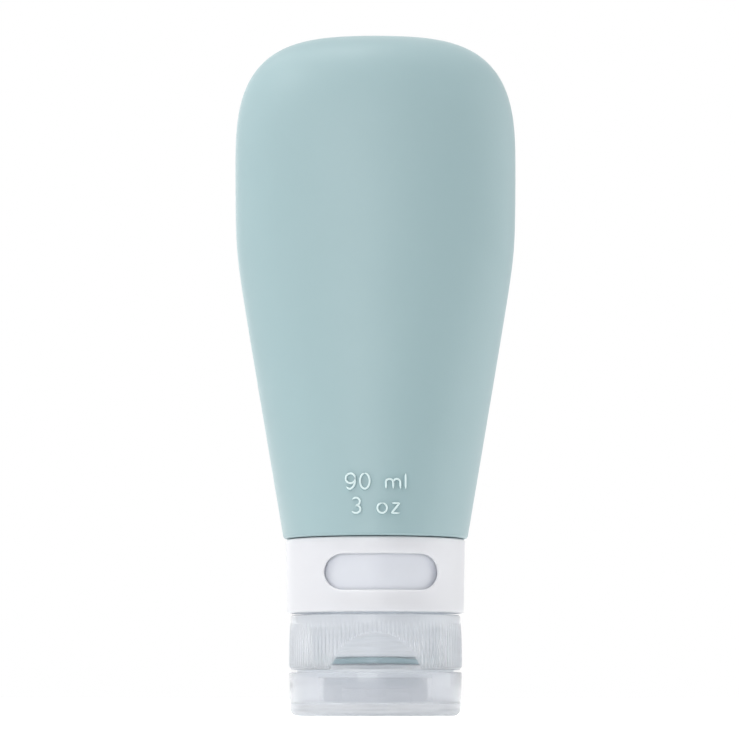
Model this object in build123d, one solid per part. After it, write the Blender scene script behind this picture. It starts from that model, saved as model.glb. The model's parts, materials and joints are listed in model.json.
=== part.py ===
from build123d import *
import math
import os

# A squeezable travel bottle: a soft silicone body that stands upside down on the flip lid of its cap.
# All sizes are in millimetres. The origin is the middle of the lid's flat face. Z runs up through the
# cap, the neck and the body to the crown, and the front, with the thumb scoop, faces -Y.

# Heights of the stacked parts, from the table up, and the seams between them
lid_height = 8.9
lid_seam = 0.4
cap_height = 11.2
cap_seam = 0.4
collar_height = 15.1
collar_seam = 0.2
body_height = 104.4

# Radii of the throat, from the inside out, so that each part is set round the one inside it
throat_radius = 10.6
throat_widening = 1.5
sleeve_wall = 1.35
seat_gap = 0.1
neck_wall = 1.15
thread_depth = 1.0
thread_gap = 0.15
skirt_wall = 0.95
cap_hollow = 0.75
cap_wall = 1.35

# Silicone body: it widens from a round rim to a flat, broad crown
rim_overhang = 0.5
widest_half_width = 29.15
widest_height = 59.5
width_softness = 6.0
thinnest_half_depth = 13.8
thinnest_height = 60.0
depth_softness = 30.0
width_crown_height = 75.3
depth_crown_height = 80.4
width_crown_power = 3.25
depth_crown_power = 2.6
body_wall = 2.5
station_shares = (0, 0.1, 0.22, 0.34, 0.46, 0.56, 0.65, 0.74, 0.82, 0.89, 0.94, 0.972, 0.99, 0.998)

# Sealing lip that the silicone sleeve folds out over the end of the neck
lip_height = 1.2
lip_gap = 0.3
lip_overlap = 1.95

# Hard neck tube inside the collar
neck_flange_height = 1.1
neck_flange_width = 1.15
neck_head_height = 1.3
bearing_wall = 2.2

# Content ring that shows in the window, and the collar that turns round it
ring_wall = 1.1
turning_gap = 0.25
axial_gap = 0.3
snap_rib_height = 1.0
snap_rib_gap = 0.35
collar_wall = 0.9
collar_flare = 0.3
collar_rounding = 0.35
window_width = 22.9
window_height = 7.25
window_rise = 8.05
window_turn = 4.45
window_rounding = 0.3

# Cap: end plate, outer wall with grip ribs, threaded skirt and spout boss
plate_height = 2.0
seat_recess = 0.9
skirt_recess = 0.3
cap_rounding = 0.35
cap_foot_rounding = 0.25
grip_foot = 0.4
grip_length = 9.3
grip_depth = 0.3
grip_count = 120
grip_crest_share = 0.3
grip_flank_share = 0.22
scoop_radius = 8.0
scoop_depth = 2.6
scoop_rise = 0.5
scoop_backing_half_width = 12.5
scoop_backing_height = 6.5
boss_radius = 9.3
boss_reach = 4.3
boss_wall = 1.4
boss_rounding = 0.3
seat_lip_height = 1.0
seat_lip_width = 2.3
snap_bead_height = 0.4
snap_bead_width = 0.4

# Valve of soft silicone and the ring that holds it in the spout
valve_gap = 0.3
flange_height = 1.5
membrane_wall = 0.7
membrane_rise = 0.9
hinge_groove_width = 0.5
slit_length = 6.0
slit_width = 0.06
retainer_wall = 2.3
retainer_height = 1.9
retainer_rounding = 0.3

# Flip lid
lid_taper = 0.25
lid_foot_rounding = 1.5
lid_rim_rounding = 0.25
lid_floor = 2.4
lid_wall = 1.1
lid_draft = 0.25
seal_ring_gap = 0.45
seal_ring_wall = 1.0
seal_ring_height = 5.0
plug_radius = 2.2
plug_gap = 0.3
plug_rounding = 0.6

# Lid hinge at the back, a barrel in the seam with pins moulded on the lid's ears
hinge_setback = 1.05
hinge_flat_gap = 0.3
barrel_radius = 1.3
barrel_gap = 0.15
knuckle_half_width = 4.0
knuckle_gap = 0.2
ear_width = 2.8
pin_radius = 0.7
pin_clearance = 0.05
pin_length = 2.0
hinge_web = 1.6

# Cuts run past the faces that they open by this much
overrun = 1.0

# Heights that follow
cap_foot = lid_height + lid_seam
cap_top = cap_foot + cap_height
plate_top = cap_foot + plate_height
seat_height = plate_top - seat_recess
collar_foot = cap_top + cap_seam
collar_top = collar_foot + collar_height
body_foot = collar_top + collar_seam
crown_top = body_foot + body_height
lip_foot = seat_height + lip_gap
neck_foot = lip_foot + lip_height + seat_gap
neck_step = collar_foot + neck_flange_height
neck_top = body_foot - seat_gap
boss_foot = cap_foot - boss_reach
valve_foot = boss_foot + seat_lip_height + seat_gap
retainer_foot = valve_foot + flange_height + seat_gap
hinge_height = lid_height + lid_seam / 2

# Radii that follow
sleeve_radius = throat_radius + sleeve_wall
neck_bore = sleeve_radius + seat_gap
thread_root = neck_bore + neck_wall
skirt_bore = thread_root + thread_depth + thread_gap
skirt_radius = skirt_bore + skirt_wall
cap_bore = skirt_radius + cap_hollow
cap_radius = cap_bore + cap_wall
grip_radius = cap_radius + grip_depth
lip_radius = sleeve_radius + lip_overlap
wide_throat = throat_radius + throat_widening
wide_sleeve = wide_throat + sleeve_wall
wide_bore = wide_sleeve + seat_gap
bearing_radius = wide_bore + bearing_wall
flange_radius = bearing_radius + neck_flange_width
ring_radius = bearing_radius + seat_gap + ring_wall
collar_bore = ring_radius + turning_gap
collar_radius = collar_bore + collar_wall
rim_radius = collar_radius + collar_flare + rim_overhang
boss_bore = boss_radius - boss_wall
valve_radius = boss_bore - valve_gap
seat_lip_bore = boss_bore - seat_lip_width
membrane_radius = seat_lip_bore + valve_gap
seal_ring_bore = boss_radius + seal_ring_gap
hinge_depth = cap_radius - hinge_setback
hinge_flat = hinge_depth - hinge_flat_gap


def turned(*corners):
    """A ring or disc turned about Z. Each corner of its section is (radius, height, rounding)."""
    points = [corner[:2] for corner in corners]
    roundings = [corner[2] if corner[2:] else 0 for corner in corners]
    outline = FilletPolyline(*points, radius=roundings, close=True)
    return revolve(make_face(Plane.XZ * outline), Axis.Z)


def block(low, high):
    """A box between two opposite corners."""
    middle = (Vector(*low) + Vector(*high)) / 2
    size = Vector(*high) - Vector(*low)
    return Pos(middle) * Box(size.X, size.Y, size.Z)


def cross_rod(radius, start, end, depth, height):
    """A round rod along X."""
    middle = (start + end) / 2
    return Pos(middle, depth, height) * Rot(Y=90) * Cylinder(radius, abs(end - start))


def eased(height, start, end, bend, softness):
    """A width that runs straight from start, then levels out at end round the height called bend."""
    slope = 2 * (end - start) / (bend + math.hypot(bend, softness))
    short_of_bend = bend - height
    return end - slope / 2 * (short_of_bend + math.hypot(short_of_bend, softness))


def crown(height, start, top, power):
    """How much of the width is left as the body closes over its crown, from 1 down to 0."""
    closed = min(max((height - start) / (top - start), 0), 1)
    return (1 - closed**power) ** (1 / power)


def body_form(inset):
    """The body's outer form, or its cavity when inset is the wall, lofted through oval sections."""
    foot = inset
    top = body_height - inset
    sections = []
    for share in station_shares:
        height = foot + share * (top - foot)
        half_width = eased(height, rim_radius, widest_half_width, widest_height, width_softness)
        half_depth = eased(height, rim_radius, thinnest_half_depth, thinnest_height, depth_softness)
        half_width = (half_width - inset) * crown(height, width_crown_height, top, width_crown_power)
        half_depth = (half_depth - inset) * crown(height, depth_crown_height, top, depth_crown_power)
        sections.append(Pos(0, 0, body_foot + height) * Ellipse(half_width, half_depth))
    return loft(sections + [Vertex(0, 0, body_foot + top)])


def bottle_body():
    """The soft body with the sleeve that lines the neck and folds out into the sealing lip."""
    sleeve = turned(
        (throat_radius, lip_foot),
        (lip_radius, lip_foot, lip_height / 3),
        (lip_radius, lip_foot + lip_height, lip_height / 3),
        (sleeve_radius, lip_foot + lip_height),
        (sleeve_radius, neck_step),
        (wide_sleeve, neck_step),
        (wide_sleeve, body_foot + body_wall),
        (throat_radius, body_foot + body_wall),
    )
    throat = turned(
        (0, neck_step + sleeve_wall),
        (wide_throat, neck_step + sleeve_wall, throat_widening / 3),
        (wide_throat, body_foot + body_wall + overrun),
        (0, body_foot + body_wall + overrun),
    )
    return body_form(0) - body_form(body_wall) + sleeve - throat


def neck_tube():
    """The hard tube round the sleeve: thread length, snap flange, ring bearing and head."""
    return turned(
        (neck_bore, neck_foot),
        (thread_root, neck_foot, neck_wall / 4),
        (thread_root, collar_foot),
        (flange_radius, collar_foot, neck_flange_height / 4),
        (flange_radius, neck_step),
        (bearing_radius, neck_step),
        (bearing_radius, neck_top - neck_head_height),
        (flange_radius, neck_top - neck_head_height),
        (flange_radius, neck_top),
        (wide_bore, neck_top),
        (wide_bore, neck_step - seat_gap),
        (neck_bore, neck_step - seat_gap),
    )


def content_ring():
    """The fixed ring behind the window."""
    foot = neck_step + 2 * axial_gap + snap_rib_height
    top = neck_top - neck_head_height - seat_gap
    return turned(
        (bearing_radius + seat_gap, foot),
        (ring_radius, foot),
        (ring_radius, top),
        (bearing_radius + seat_gap, top),
    )


def window_collar():
    """The collar that turns on the neck, held by its inner rib above the neck's flange."""
    rib_foot = neck_step + axial_gap
    rib_bore = bearing_radius + snap_rib_gap
    shell = turned(
        (collar_bore, collar_foot),
        (collar_radius, collar_foot, collar_rounding),
        (collar_radius + collar_flare, collar_top, collar_rounding),
        (collar_bore, collar_top),
        (collar_bore, rib_foot + snap_rib_height),
        (rib_bore, rib_foot + snap_rib_height),
        (rib_bore, rib_foot),
        (collar_bore, rib_foot),
    )
    outside = collar_radius + collar_flare + overrun
    opening = extrude(Plane.XZ * SlotOverall(window_width, window_height), outside)
    collar = shell - Rot(Z=window_turn) * Pos(0, 0, collar_foot + window_rise) * opening
    return fillet(window_edges(collar), window_rounding)


def window_edges(collar):
    """The edges of the window on the collar's outside."""
    window_middle = collar_foot + window_rise
    chosen = []
    for edge in collar.edges():
        middle = edge.center()
        on_outside = math.hypot(middle.X, middle.Y) > collar_bore + collar_wall / 2
        on_front = middle.Y < -window_width / 2
        if on_outside and on_front and abs(middle.Z - window_middle) < window_height:
            chosen.append(edge)
    return chosen


def grip_band():
    """A band of fine upright ribs with sloped flanks, round the cap's wall."""
    pitch = 2 * math.pi / grip_count
    outline = []
    for rib in range(grip_count):
        middle = rib * pitch
        crest = grip_crest_share * pitch / 2
        foot = crest + grip_flank_share * pitch
        for angle, radius in (
            (middle - foot, cap_radius),
            (middle - crest, grip_radius),
            (middle + crest, grip_radius),
            (middle + foot, cap_radius),
        ):
            outline.append((radius * math.cos(angle), radius * math.sin(angle)))
    band = extrude(make_face(Polyline(*outline, close=True)), grip_length)
    hollow = Cylinder(cap_radius - cap_wall / 2, 2 * (grip_length + overrun))
    return Pos(0, 0, cap_foot + grip_foot) * (band - hollow)


def cap_shell():
    """The cap's turned form: spout boss, end plate, outer wall and skirt. The wall is thinner where
    the grip band goes round it, and the plate is thinner where the sealing lip lies on it."""
    under_grip = cap_radius - cap_wall / 4
    skirt_top = cap_top - skirt_recess
    return turned(
        (seat_lip_bore, boss_foot, boss_rounding),
        (boss_radius, boss_foot, boss_rounding),
        (boss_radius, cap_foot),
        (cap_radius, cap_foot, cap_foot_rounding),
        (cap_radius, cap_foot + grip_foot),
        (under_grip, cap_foot + grip_foot),
        (under_grip, cap_foot + grip_foot + grip_length),
        (cap_radius, cap_foot + grip_foot + grip_length),
        (cap_radius, cap_top, cap_rounding),
        (cap_bore, cap_top),
        (cap_bore, plate_top),
        (skirt_radius, plate_top),
        (skirt_radius, skirt_top),
        (skirt_bore, skirt_top),
        (skirt_bore, seat_height),
        (boss_bore - snap_bead_width, seat_height),
        (boss_bore - snap_bead_width, seat_height - snap_bead_height),
        (boss_bore, seat_height - snap_bead_height - snap_bead_width),
        (boss_bore, boss_foot + seat_lip_height),
        (seat_lip_bore, boss_foot + seat_lip_height),
    )


def cap_base():
    """The screw cap with its ribbed wall, thumb scoop, spout boss and hinge knuckle."""
    front_box = block(
        (-scoop_backing_half_width, -cap_radius, plate_top),
        (scoop_backing_half_width, 0, plate_top + scoop_backing_height),
    )
    hollow = turned(
        (skirt_bore + skirt_wall / 2, plate_top),
        (cap_bore + cap_wall / 4, plate_top),
        (cap_bore + cap_wall / 4, cap_top),
        (skirt_bore + skirt_wall / 2, cap_top),
    )
    cap = cap_shell() + grip_band() + (hollow & front_box)
    scoop_axis = scoop_depth - cap_radius - scoop_radius
    cap -= cross_rod(scoop_radius, -cap_radius, cap_radius, scoop_axis, cap_foot + scoop_rise)
    cap -= block(
        (-cap_radius, hinge_flat, cap_foot - overrun),
        (cap_radius, grip_radius + overrun, plate_top),
    )
    ear_end = knuckle_half_width + ear_width + 2 * knuckle_gap
    for side in (-1, 1):
        cap -= cross_rod(
            barrel_radius + barrel_gap, side * knuckle_half_width, side * ear_end, hinge_depth, hinge_height
        )
    cap += cross_rod(barrel_radius, -knuckle_half_width, knuckle_half_width, hinge_depth, hinge_height)
    bore_end = knuckle_half_width - pin_length
    for side in (-1, 1):
        cap -= cross_rod(
            pin_radius + pin_clearance,
            side * bore_end,
            side * (knuckle_half_width + overrun),
            hinge_depth,
            hinge_height,
        )
    return cap


def spout_valve():
    """The soft disc in the spout, domed inwards and slit crosswise, that opens when the body is squeezed."""
    dome_foot = valve_foot + membrane_wall / 2
    disc = turned(
        (membrane_radius, valve_foot),
        (valve_radius, valve_foot),
        (valve_radius, valve_foot + flange_height, flange_height / 4),
        (membrane_radius, valve_foot + flange_height),
        (membrane_radius - hinge_groove_width, dome_foot + membrane_wall),
        (0, dome_foot + membrane_wall + membrane_rise),
        (0, dome_foot + membrane_rise),
        (membrane_radius - hinge_groove_width, dome_foot),
    )
    for turn in (0, 90):
        slit = Box(slit_length, slit_width, 2 * flange_height)
        disc -= Pos(0, 0, valve_foot + flange_height) * Rot(Z=turn) * slit
    return disc


def valve_retainer():
    """The snap-in ring that clamps the valve against the spout's seat."""
    return turned(
        (valve_radius - retainer_wall, retainer_foot),
        (valve_radius, retainer_foot),
        (valve_radius, retainer_foot + retainer_height, retainer_rounding),
        (valve_radius - retainer_wall, retainer_foot + retainer_height, retainer_rounding),
    )


def flip_lid():
    """The lid that the bottle stands on: foot, wall, sealing ring, plug and hinge ears."""
    plug_top = valve_foot - plug_gap
    lid = turned(
        (0, 0),
        (grip_radius - lid_taper, 0, lid_foot_rounding),
        (grip_radius, lid_height, lid_rim_rounding),
        (grip_radius - lid_wall, lid_height),
        (grip_radius - lid_wall - lid_draft, lid_floor, lid_wall / 2),
        (seal_ring_bore + seal_ring_wall, lid_floor),
        (seal_ring_bore + seal_ring_wall, lid_floor + seal_ring_height, seal_ring_wall / 4),
        (seal_ring_bore, lid_floor + seal_ring_height, seal_ring_wall / 4),
        (seal_ring_bore, lid_floor),
        (plug_radius, lid_floor),
        (plug_radius, plug_top, plug_rounding),
        (0, plug_top),
    )
    ear_start = knuckle_half_width + knuckle_gap
    ear_end = ear_start + ear_width
    lid += block((-ear_end, hinge_flat - hinge_web, lid_floor / 2), (ear_end, hinge_flat, lid_height))
    lid -= block((-grip_radius, hinge_flat, -overrun), (grip_radius, grip_radius + overrun, lid_height + overrun))
    lid -= cross_rod(barrel_radius + barrel_gap, -ear_start, ear_start, hinge_depth, hinge_height)
    for side in (-1, 1):
        lid += cross_rod(barrel_radius, side * ear_start, side * ear_end, hinge_depth, hinge_height)
        lid += cross_rod(
            pin_radius, side * (ear_start - pin_length), side * ear_end, hinge_depth, hinge_height
        )
    return lid


pieces = {
    "bottle_body": bottle_body(),
    "neck_tube": neck_tube(),
    "content_ring": content_ring(),
    "window_collar": window_collar(),
    "cap_base": cap_base(),
    "spout_valve": spout_valve(),
    "valve_retainer": valve_retainer(),
    "flip_lid": flip_lid(),
}

os.makedirs("parts", exist_ok=True)
for name, piece in pieces.items():
    export_step(piece, f"parts/{name}.step")
    print(name, "volume", round(piece.volume / 1000, 2), "ml")

cavity = body_form(body_wall).volume
throat_area = math.pi * throat_radius**2
wide_area = math.pi * wide_throat**2
throat_volume = throat_area * (neck_step - lip_foot) + wide_area * (body_foot + body_wall - neck_step)
print("brimful", round((cavity + throat_volume) / 1000, 1), "ml")
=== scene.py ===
# %% [markdown]
# This notebook dresses a travel bottle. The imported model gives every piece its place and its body, so
# the first step is to load that frame. Lengths here are in metres, and the front of the bottle faces -Y.

# %% Load the frame
import bpy
import bmesh
import json
import math
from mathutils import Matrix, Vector

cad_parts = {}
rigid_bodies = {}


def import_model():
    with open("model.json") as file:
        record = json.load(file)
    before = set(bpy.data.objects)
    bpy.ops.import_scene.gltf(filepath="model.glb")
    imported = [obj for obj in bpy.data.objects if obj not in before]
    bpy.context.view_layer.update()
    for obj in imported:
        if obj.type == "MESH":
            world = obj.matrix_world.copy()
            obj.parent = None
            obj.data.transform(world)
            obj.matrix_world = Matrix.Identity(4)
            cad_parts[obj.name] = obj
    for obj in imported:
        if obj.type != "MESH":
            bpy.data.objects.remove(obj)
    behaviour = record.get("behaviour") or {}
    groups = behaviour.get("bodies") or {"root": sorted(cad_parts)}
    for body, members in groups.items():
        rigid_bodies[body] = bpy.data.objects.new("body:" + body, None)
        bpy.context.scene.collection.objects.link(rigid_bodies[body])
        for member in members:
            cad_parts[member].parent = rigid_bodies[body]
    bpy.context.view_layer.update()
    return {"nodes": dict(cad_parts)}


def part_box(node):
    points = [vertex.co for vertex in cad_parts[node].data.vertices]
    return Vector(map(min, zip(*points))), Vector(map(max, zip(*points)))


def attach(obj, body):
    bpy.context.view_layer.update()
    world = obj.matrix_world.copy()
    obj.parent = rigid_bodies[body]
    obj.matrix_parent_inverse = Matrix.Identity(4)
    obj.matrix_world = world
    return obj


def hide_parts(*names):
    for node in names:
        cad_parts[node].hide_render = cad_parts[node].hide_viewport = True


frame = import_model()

scene = bpy.context.scene
MM = 0.001
print("nodes:", ", ".join(sorted(frame["nodes"])))

# %% [markdown]
# The seams between the stacked parts are read from the nodes' own boxes, so that every skin made here
# lines up with the solid behind it. The radii that a box can't show are written as they are on the part.

# %% Read the heights of the stack
lid_top = 8.9 * MM
cap_foot = 9.3 * MM
cap_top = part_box("cap_base")[1].z
spout_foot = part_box("cap_base")[0].z
collar_foot, collar_top = (corner.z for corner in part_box("window_collar"))
ring_foot, ring_top = (corner.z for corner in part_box("content_ring"))
lip_foot, crown_top = (corner.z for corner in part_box("bottle_body"))
body_foot = collar_top + 0.2 * MM
print("collar from", round(collar_foot / MM, 1), "to", round(collar_top / MM, 1), "mm")

# %% [markdown]
# Almost every piece of a bottle is a stack of rings: round ones on the cap and the lid, oval ones on the
# body. One helper stitches a list of rings into a closed skin, and a ring of a single point is a pole.
# This keeps clean rows of quads, which shade smoothly, where a primitive with modifiers would not.

# %% Stitch rings into a skin
def new_piece(name, points, faces, sharp_angle=35):
    mesh = bpy.data.meshes.new(name)
    mesh.from_pydata([tuple(point) for point in points], [], faces)
    sheet = bmesh.new()
    sheet.from_mesh(mesh)
    bmesh.ops.recalc_face_normals(sheet, faces=sheet.faces)
    sheet.to_mesh(mesh)
    sheet.free()
    mesh.shade_smooth()
    mesh.set_sharp_from_angle(angle=math.radians(sharp_angle))
    piece = bpy.data.objects.new(name, mesh)
    scene.collection.objects.link(piece)
    return piece


def stitched(name, rings, looped=False, sharp_angle=35):
    points, faces, starts = [], [], []
    for ring in rings:
        starts.append(len(points))
        points.extend(ring)
    pairs = list(zip(range(len(rings)), range(1, len(rings))))
    if looped:
        pairs.append((len(rings) - 1, 0))
    for near, far in pairs:
        near_count, far_count = len(rings[near]), len(rings[far])
        for step in range(max(near_count, far_count)):
            a = starts[near] + step % near_count
            b = starts[near] + (step + 1) % near_count
            c = starts[far] + (step + 1) % far_count
            d = starts[far] + step % far_count
            faces.append([corner for i, corner in enumerate((a, b, c, d)) if corner not in (a, b, c, d)[:i]])
    return new_piece(name, points, faces, sharp_angle)


def oval(half_width, half_depth, height, count):
    if half_width < 0.001 * MM:
        return [(0, 0, height)]
    turns = [2 * math.pi * step / count for step in range(count)]
    return [(half_width * math.cos(turn), half_depth * math.sin(turn), height) for turn in turns]


# %% [markdown]
# Moulded plastic has no sharp corners: each corner of a section is given the small rounding of the mould.
# A rounded corner is an arc between the two edges that meet there, worked out from the angle of the turn.

# %% Round the corners of a section
arc_steps = 5


def rounded(section, closed):
    outline = []
    count = len(section)
    for index, (radius, height, rounding) in enumerate(section):
        here = Vector((radius, height))
        at_end = not closed and index in (0, count - 1)
        if at_end or rounding == 0:
            outline.append((radius, height))
            continue
        before = Vector(section[index - 1][:2]) - here
        after = Vector(section[(index + 1) % count][:2]) - here
        half_turn = before.angle(after) / 2
        reach = rounding / math.tan(half_turn)
        middle = here + (before.normalized() + after.normalized()).normalized() * rounding / math.sin(half_turn)
        start = here + before.normalized() * reach - middle
        end = here + after.normalized() * reach - middle
        sweep = math.atan2(start.cross(end), start.dot(end))
        for step in range(arc_steps + 1):
            turn = sweep * step / arc_steps
            across = start.x * math.cos(turn) - start.y * math.sin(turn)
            up = start.x * math.sin(turn) + start.y * math.cos(turn)
            outline.append((middle.x + across, middle.y + up))
    return outline


def lathe(name, section, count=256, closed=True, sharp_angle=35):
    rings = [oval(radius, radius, height, count) for radius, height in rounded(section, closed)]
    return stitched(name, rings, looped=closed, sharp_angle=sharp_angle)


# %% [markdown]
# The silicone body is round at the neck and flat and broad at the crown. Each ring's half width and half
# depth run straight from the rim, level out, and close over the crown along a rounded curve. The rings sit
# close together near the top, where the form turns fastest. The same formula, a wall further in, gives the
# cavity, and the rows in between make the rim, the sleeve through the neck and the sealing lip, so the
# skin is one closed moulding like the real one.

# %% Shape the silicone body
rim_radius = 18.9 * MM
body_height = crown_top - body_foot
body_wall = 2.5 * MM
ring_points = 224
rim_rounding = 0.45 * MM
widest_half_width, widest_height, width_softness = 29.15 * MM, 59.5 * MM, 6 * MM
thinnest_half_depth, thinnest_height, depth_softness = 13.8 * MM, 60 * MM, 30 * MM
width_crown_height, width_crown_power = 75.3 * MM, 3.25
depth_crown_height, depth_crown_power = 80.4 * MM, 2.6


def eased(height, start, end, bend, softness):
    slope = 2 * (end - start) / (bend + math.hypot(bend, softness))
    short_of_bend = bend - height
    return end - slope / 2 * (short_of_bend + math.hypot(short_of_bend, softness))


def crown(height, start, top, power):
    closed = min(max((height - start) / (top - start), 0), 1)
    return (1 - closed**power) ** (1 / power)


def body_half_sizes(height, inset):
    top = body_height - inset
    half_width = eased(height, rim_radius, widest_half_width, widest_height, width_softness) - inset
    half_depth = eased(height, rim_radius, thinnest_half_depth, thinnest_height, depth_softness) - inset
    half_width *= crown(height, width_crown_height, top, width_crown_power)
    half_depth *= crown(height, depth_crown_height, top, depth_crown_power)
    return half_width, half_depth


def body_rings(inset, foot_height):
    straight_rows, crown_rows = 46, 44
    crown_foot = 70 * MM
    top = body_height - inset
    heights = [foot_height + (crown_foot - foot_height) * row / straight_rows for row in range(straight_rows)]
    for row in range(crown_rows + 1):
        share = math.sin(math.pi / 2 * row / crown_rows) ** 0.62
        heights.append(crown_foot + (top - crown_foot) * share)
    return [oval(*body_half_sizes(height, inset), body_foot + height, ring_points) for height in heights]


print("body at its widest:", round(2 * body_half_sizes(70 * MM, 0)[0] / MM, 1), "mm")

# %% Build the silicone body
throat = 10.6 * MM
wide_throat = 12.1 * MM
sleeve_wall = 1.35 * MM
lip_radius = 13.9 * MM
lip_height = 1.2 * MM
neck_step = 22.0 * MM

outside = body_rings(0, rim_rounding)
inside = body_rings(body_wall, body_wall)
under_section = [
    (rim_radius, body_foot + rim_rounding, 0),
    (rim_radius, body_foot, rim_rounding),
    (wide_throat + sleeve_wall, body_foot, 0),
    (wide_throat + sleeve_wall, neck_step, 0),
    (throat + sleeve_wall, neck_step, 0),
    (throat + sleeve_wall, lip_foot + lip_height, 0),
    (lip_radius, lip_foot + lip_height, lip_height / 3),
    (lip_radius, lip_foot, lip_height / 3),
    (throat, lip_foot, 0),
    (throat, neck_step + sleeve_wall, 0),
    (wide_throat, neck_step + sleeve_wall, 0.5 * MM),
    (wide_throat, body_foot + body_wall, 0),
]
under = [oval(radius, radius, height, ring_points) for radius, height in rounded(under_section, False)]
rings = outside[::-1] + under[1:] + inside
silicone_body = stitched("silicone_body", rings, sharp_angle=50)
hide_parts("bottle_body")
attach(silicone_body, "bottle")
print("silicone body:", len(silicone_body.data.polygons), "faces")

# %% [markdown]
# Letters and threads are raised ridges that follow a path over a surface. One helper sweeps a section
# along points that each know their outward direction, and closes both ends, so every stroke is a small
# solid of its own that sinks a little into what carries it.

# %% Sweep a ridge over a surface
def swept(name, path, section, sharp_angle=40, end_shares=(0.4, 0.8)):
    """path is a list of (point, outward); section is a list of (across, outward) offsets, going round."""
    count = len(path)
    rings = []
    for index, (point, outward) in enumerate(path):
        before = path[max(index - 1, 0)][0]
        after = path[min(index + 1, count - 1)][0]
        along = (after - before).normalized()
        across = along.cross(outward).normalized()
        from_end = min(index, count - 1 - index)
        share = end_shares[from_end] if from_end < len(end_shares) else 1
        rings.append([point + across * a * share + outward * b for a, b in section])
    points = [point for ring in rings for point in ring]
    width = len(section)
    faces = []
    for row in range(count - 1):
        for step in range(width):
            a, b = row * width + step, row * width + (step + 1) % width
            faces.append((a, b, b + width, a + width))
    faces.append(tuple(range(width)))
    faces.append(tuple(range((count - 1) * width, count * width)))
    return new_piece(name, points, faces, sharp_angle)


def joined(name, pieces):
    sheet = bmesh.new()
    for piece in pieces:
        sheet.from_mesh(piece.data)
        bpy.data.objects.remove(piece)
    mesh = bpy.data.meshes.new(name)
    sheet.to_mesh(mesh)
    sheet.free()
    whole = bpy.data.objects.new(name, mesh)
    scene.collection.objects.link(whole)
    return whole


# %% [markdown]
# The capacity stands on the body in thin raised strokes of one width. The numbers are drawn here from a
# few arcs and straight runs on a unit letter height, because a font's outlines would be flat letters of
# uneven weight. The strokes are then laid on the curved front of the silicone.

# %% Draw the numbers
def arc(centre_x, centre_y, radius_x, radius_y, start, end, steps=14):
    turns = [math.radians(start + (end - start) * step / steps) for step in range(steps + 1)]
    return [(centre_x + radius_x * math.cos(turn), centre_y + radius_y * math.sin(turn)) for turn in turns]


x_height = 0.64
glyphs = {
    "0": (0.62, [arc(0.31, 0.5, 0.31, 0.5, 90, 450, 28)]),
    "1": (0.36, [[(0.02, 0.8), (0.24, 1.0), (0.24, 0.5), (0.24, 0)]]),
    "2": (0.58, [arc(0.28, 0.72, 0.27, 0.28, 165, -40) + [(0.0, 0.0), (0.56, 0.0)]]),
    "3": (0.58, [arc(0.26, 0.745, 0.25, 0.255, 150, -90) + arc(0.26, 0.255, 0.29, 0.255, 90, -150)[1:]]),
    "9": (0.62, [arc(0.31, 0.68, 0.31, 0.32, 0, 360, 24), arc(0.27, 0.66, 0.35, 0.66, 0, -128, 14)]),
    "m": (0.96, [
        [(0, x_height), (0, x_height / 2), (0, 0)],
        [(0, 0.36)] + arc(0.23, 0.4, 0.23, 0.24, 170, 0, 10) + [(0.46, 0.2), (0.46, 0)],
        [(0.46, 0.36)] + arc(0.69, 0.4, 0.23, 0.24, 170, 0, 10) + [(0.92, 0.2), (0.92, 0)],
    ]),
    "l": (0.0, [[(0, 1.0), (0, 0.66), (0, 0.33), (0, 0)]]),
    "o": (0.62, [arc(0.31, x_height / 2, 0.31, x_height / 2, 90, 450, 24)]),
    "z": (0.5, [[(0, x_height), (0.5, x_height), (0.0, 0), (0.5, 0)]]),
    " ": (0.45, []),
}
letter_gap = 0.3


def line_strokes(text, letter_height, middle_height):
    """The strokes of a line of text as (across, height) points, centred on the front."""
    width = sum(glyphs[letter][0] for letter in text) + letter_gap * (len(text) - 1)
    cursor = -width / 2
    strokes = []
    for letter in text:
        advance, shapes = glyphs[letter]
        for shape in shapes:
            strokes.append([
                ((cursor + x) * letter_height, middle_height + (y - 0.5) * letter_height) for x, y in shape
            ])
        cursor += advance + letter_gap
    return strokes


def resampled(stroke, spacing):
    points = [stroke[0]]
    for start, end in zip(stroke, stroke[1:]):
        steps = max(1, round(math.dist(start, end) / spacing))
        for step in range(1, steps + 1):
            share = step / steps
            points.append(tuple(a + (b - a) * share for a, b in zip(start, end)))
    return points


def stroke_section(width, rise, sink, steps=8):
    turns = [math.pi * step / steps for step in range(steps + 1)]
    top = [(width / 2 * math.cos(turn), rise * math.sin(turn) ** 0.5 if 0 < step < steps else 0)
           for step, turn in enumerate(turns)]
    return top + [(-width / 2, -sink), (width / 2, -sink)]


# %% [markdown]
# A stroke needs the point of the surface under it and the way out of it. On the oval body both come from
# the ring at that height: the depth there follows from the ellipse, and the outward direction from small
# steps across and up.

# %% Lay the numbers on the body
def body_front(across, height):
    half_width, half_depth = body_half_sizes(height - body_foot, 0)
    return Vector((across, -half_depth * math.sqrt(1 - (across / half_width) ** 2), height))


def outward_at(surface, across, height, nudge=0.1 * MM):
    step_across = surface(across + nudge, height) - surface(across - nudge, height)
    step_up = surface(across, height + nudge) - surface(across, height - nudge)
    return step_across.cross(step_up).normalized()


def raised_text(name, lines, surface, stroke_width, rise):
    section = stroke_section(stroke_width, rise, 2 * rise)
    ridges = []
    for text, letter_height, middle_height in lines:
        for stroke in line_strokes(text, letter_height, middle_height):
            points = resampled(stroke, stroke_width / 2)
            path = [(surface(x, z), outward_at(surface, x, z)) for x, z in points]
            ridges.append(swept(f"{name}_stroke", path, section))
    return joined(name, ridges)


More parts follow.
